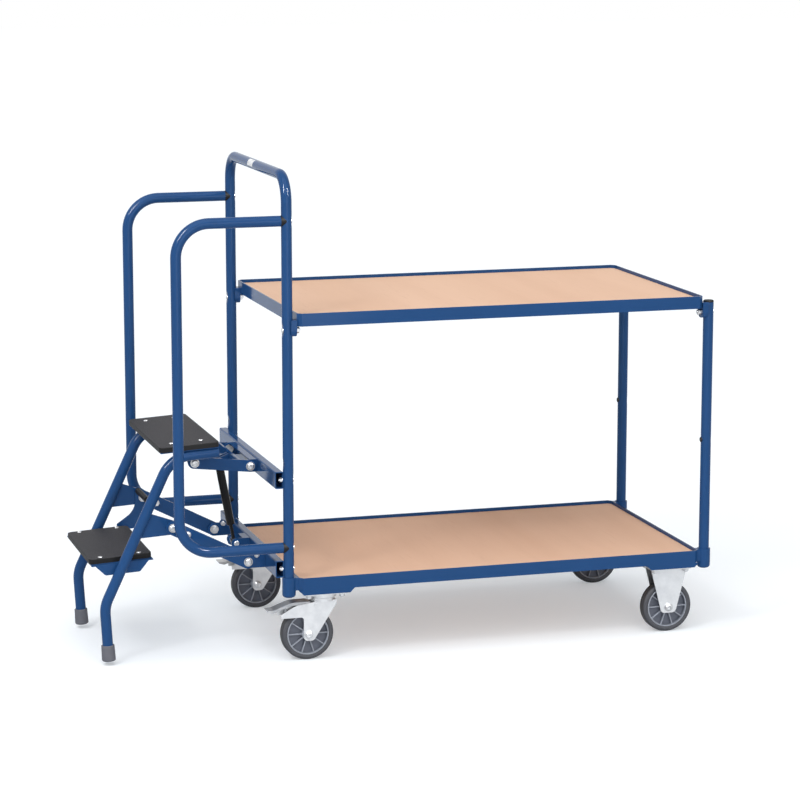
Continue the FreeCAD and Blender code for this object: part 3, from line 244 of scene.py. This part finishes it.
# Materials
def add_group(tree, group, **values):
    """Place a group in a material with its own values; returns its outputs."""
    node = tree.nodes.new("ShaderNodeGroup")
    node.node_tree = group
    for label, value in values.items():
        node.inputs[label].default_value = value
    return node.outputs


def principled(name, roughness, metallic=0.0, specular=0.5):
    """New material with its shader's constants set; returns it with its tree and its shader."""
    material = bpy.data.materials.new(name)
    material.use_nodes = True
    shader = material.node_tree.nodes["Principled BSDF"]
    shader.inputs["Roughness"].default_value = roughness
    shader.inputs["Metallic"].default_value = metallic
    shader.inputs["Specular IOR Level"].default_value = specular
    return material, material.node_tree, shader


def colour(tree, shader, tone):
    """Give a shader its base colour, a constant or a socket."""
    feed(tree, shader.inputs["Base Color"], tone)


def roughen(tree, shader, scale, strength):
    """Give a shader a finely roughened surface."""
    surface = add_group(tree, fine_surface, Scale=scale, Strength=strength)
    tree.links.new(surface["Normal"], shader.inputs["Normal"])


def clouded(tree, scale, first, second):
    """Two close tones in soft clouds."""
    return mixed_colour(tree, add_group(tree, soft_clouds, Scale=scale)["Mask"], first, second)


def clouded_material(name, first, second, cloud_scale, roughness, metallic=0.0, specular=0.5):
    material, tree, shader = principled(name, roughness, metallic, specular)
    colour(tree, shader, clouded(tree, cloud_scale, first, second))
    return material


def beech_board():
    """Pale beech with long streaks and short pores."""
    material, tree, shader = principled("beech_board", roughness=0.6, specular=0.06)
    grain = add_group(tree, board_grain, Scale=1.0)["Mask"]
    pores = add_group(tree, board_pores, Scale=4.0)["Mask"]
    streaked = mixed_colour(tree, grain, BEECH, BEECH_STREAK)
    colour(tree, shader, mixed_colour(tree, pores, streaked, BEECH_STREAK))
    return material


def black_step_board():
    """Speckled anti-slip top, with plain darker edges."""
    material, tree, shader = principled("black_step_board", roughness=0.6, specular=0.12)
    top = clouded(tree, 900, STEP_BLACK, STEP_GRAIN)
    colour(tree, shader, mixed_colour(tree, add_group(tree, facing)["Up"], STEP_EDGE, top))
    roughen(tree, shader, scale=900, strength=0.35)
    return material


def black_plastic():
    """Black moulding with a fine grain."""
    material, tree, shader = principled("black_plastic", roughness=0.5, specular=0.12)
    colour(tree, shader, BLACK)
    roughen(tree, shader, scale=500, strength=0.10)
    return material


def spring_black():
    """Smooth black lacquer of the gas spring."""
    material, tree, shader = principled("spring_black", roughness=0.26, specular=0.12)
    colour(tree, shader, BLACK)
    return material


def tyre_grey():
    """Dark tread with paler side walls."""
    material, tree, shader = principled("tyre_grey", roughness=0.62, specular=0.3)
    colour(tree, shader, mixed_colour(tree, add_group(tree, facing)["Side"], TREAD, SIDEWALL))
    return material


def wheel_grey():
    """Moulded wheel, with painted shade on its recessed web and painted light making its ribs, rim and
    hub paler.
    """
    material, tree, shader = principled("wheel_grey", roughness=0.42, specular=0.35)
    # Painted shade darkens the web between the ribs; painted light makes the ribs, rim and hub paler
    colour(tree, shader, mixed_colour(tree, add_group(tree, wheel_recess_shade)["Mask"], WHEEL_WEB_PAINTED_SHADE, WHEEL_RIB_PAINTED_LIGHT))
    roughen(tree, shader, scale=400, strength=0.08)
    return material


finishes = {
    "blue_powder_coat": clouded_material(
        "blue_powder_coat", BLUE, BLUE_DEEP, cloud_scale=5, roughness=0.10, specular=0.10),
    "zinc": clouded_material(
        "zinc", ZINC, ZINC_CLOUD, cloud_scale=60, roughness=0.30, metallic=1.0),
    "bolt_zinc": clouded_material(
        "bolt_zinc", BOLT, ZINC_CLOUD, cloud_scale=60, roughness=0.34, metallic=1.0),
    "pedal_steel": clouded_material(
        "pedal_steel", PEDAL, BOLT, cloud_scale=40, roughness=0.32, metallic=1.0),
    "foot_rubber": clouded_material(
        "foot_rubber", FOOT, FOOT_DUST, cloud_scale=40, roughness=0.62, specular=0.3),
    "label_white": clouded_material(
        "label_white", LABEL, LABEL_DUST, cloud_scale=80, roughness=0.4, specular=0.3),
    "beech_board": beech_board(),
    "black_step_board": black_step_board(),
    "black_plastic": black_plastic(),
    "spring_black": spring_black(),
    "tyre_grey": tyre_grey(),
    "wheel_grey": wheel_grey(),
}
for part in frame["record"]["subparts"]:
    mesh = frame["nodes"][part["node"]].data
    is_bolt = part["node"].endswith(("_bolts", "_screws", "_axles"))
    mesh.materials.clear()
    mesh.materials.append(finishes["bolt_zinc" if is_bolt else part["material_slot"]])


# Bare pale label
def push_bar_label():
    """Thin sheet bent round the top of the push bar."""
    hoop_low, hoop_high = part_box("push_hoop")
    radius = (hoop_high.x - hoop_low.x) / 2
    centre = Vector(((hoop_low.x + hoop_high.x) / 2, label_middle_y, hoop_high.z - radius))
    arm = Vector((-math.cos(label_start), 0, math.sin(label_start))) * (radius + label_sheet / 2)
    half = Vector((0, label_length / 2, 0))
    sheet = bmesh.new()
    ends = [sheet.verts.new(centre + arm - half), sheet.verts.new(centre + arm + half)]
    edge = sheet.edges.new(ends)
    bmesh.ops.spin(
        sheet, geom=ends + [edge], cent=centre, axis=(0, 1, 0), angle=label_sweep,
        steps=label_facets, use_merge=False)
    bmesh.ops.recalc_face_normals(sheet, faces=sheet.faces)
    bmesh.ops.solidify(sheet, geom=sheet.faces[:], thickness=label_sheet)
    bmesh.ops.recalc_face_normals(sheet, faces=sheet.faces)
    mesh = bpy.data.meshes.new("push_bar_label")
    sheet.to_mesh(mesh)
    sheet.free()
    mesh.materials.append(finishes["label_white"])
    label = bpy.data.objects.new("push_bar_label", mesh)
    bpy.context.collection.objects.link(label)
    return label


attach(push_bar_label(), "frame")


# Studio
def aimed(name, data, place):
    """Put a lamp at its place and turn it to the middle of the trolley."""
    lamp = bpy.data.objects.new(name, data)
    bpy.context.collection.objects.link(lamp)
    towards = Vector((0, 0, aim_height)) - Vector(place)
    lamp.location = floor_centre + Vector(place)
    lamp.rotation_euler = towards.to_track_quat("-Z", "Y").to_euler()
    return lamp


def ceiling_light():
    data = bpy.data.lights.new("ceiling", "SUN")
    data.angle = ceiling_spread
    data.energy = ceiling_strength
    return aimed("ceiling", data, ceiling_place)


def softbox(name, place, size, power):
    data = bpy.data.lights.new(name, "AREA")
    data.size = size
    data.energy = power
    return aimed(name, data, place)


def gloss_strip(name, place):
    """Long narrow lamp that shows in glossy paint and metal only."""
    strip = softbox(name, place, strip_width, strip_power)
    strip.data.shape = "RECTANGLE"
    strip.data.size_y = strip_length
    strip.visible_diffuse = False
    return strip


def background_rays(tree):
    """Value that is 1 for the rays that show the background: straight, mirrored or through glass."""
    rays = tree.nodes.new("ShaderNodeLightPath").outputs
    seen = worked_value(tree, "MAXIMUM", rays["Is Camera Ray"], rays["Is Glossy Ray"])
    return worked_value(tree, "MAXIMUM", seen, rays["Is Transmission Ray"])


def studio_floor():
    """Pale matt floor that glows to white where it is seen, and keeps the shadow."""
    bpy.ops.mesh.primitive_plane_add(size=floor_size, location=floor_centre)
    plane = bpy.context.object
    plane.name = "floor"
    material, tree, shader = principled("studio_floor", roughness=0.9, specular=0.0)
    colour(tree, shader, FLOOR)
    glow = tree.nodes.new("ShaderNodeEmission")
    glow.inputs["Color"].default_value = FLOOR_GLOW
    both = tree.nodes.new("ShaderNodeAddShader")
    tree.links.new(background_rays(tree), glow.inputs["Strength"])
    tree.links.new(shader.outputs["BSDF"], both.inputs[0])
    tree.links.new(glow.outputs["Emission"], both.inputs[1])
    tree.links.new(both.outputs["Shader"], tree.nodes["Material Output"].inputs["Surface"])
    plane.data.materials.append(material)
    return plane


def studio_world():
    """Grey light from all round, with white for the rays that show the background."""
    world = bpy.data.worlds.new("studio")
    world.use_nodes = True
    tree = world.node_tree
    around = tree.nodes["Background"]
    around.inputs["Color"].default_value = STUDIO_GREY
    behind = tree.nodes.new("ShaderNodeBackground")
    behind.inputs["Color"].default_value = WHITE
    choice = tree.nodes.new("ShaderNodeMixShader")
    tree.links.new(background_rays(tree), choice.inputs["Fac"])
    tree.links.new(around.outputs["Background"], choice.inputs[1])
    tree.links.new(behind.outputs["Background"], choice.inputs[2])
    tree.links.new(choice.outputs["Shader"], tree.nodes["World Output"].inputs["Surface"])
    return world


def studio_camera():
    data = bpy.data.cameras.new("camera")
    data.lens = camera_lens
    data.sensor_width = sensor_width
    camera = bpy.data.objects.new("camera", data)
    bpy.context.collection.objects.link(camera)
    camera.location = floor_centre + Vector((-camera_left, -camera_back, camera_height))
    camera.rotation_euler = (math.pi / 2 - camera_pitch, 0, -camera_azimuth)
    return camera


floor = studio_floor()
lights = [
    ceiling_light(),
    softbox("key", key_place, key_size, key_power),
    gloss_strip("left_strip", left_strip_place),
    gloss_strip("right_strip", right_strip_place),
    softbox("fill", fill_place, fill_size, fill_power),
]

bpy.context.scene.world = studio_world()
bpy.context.scene.camera = studio_camera()
bpy.context.scene.view_settings.view_transform = "Standard"
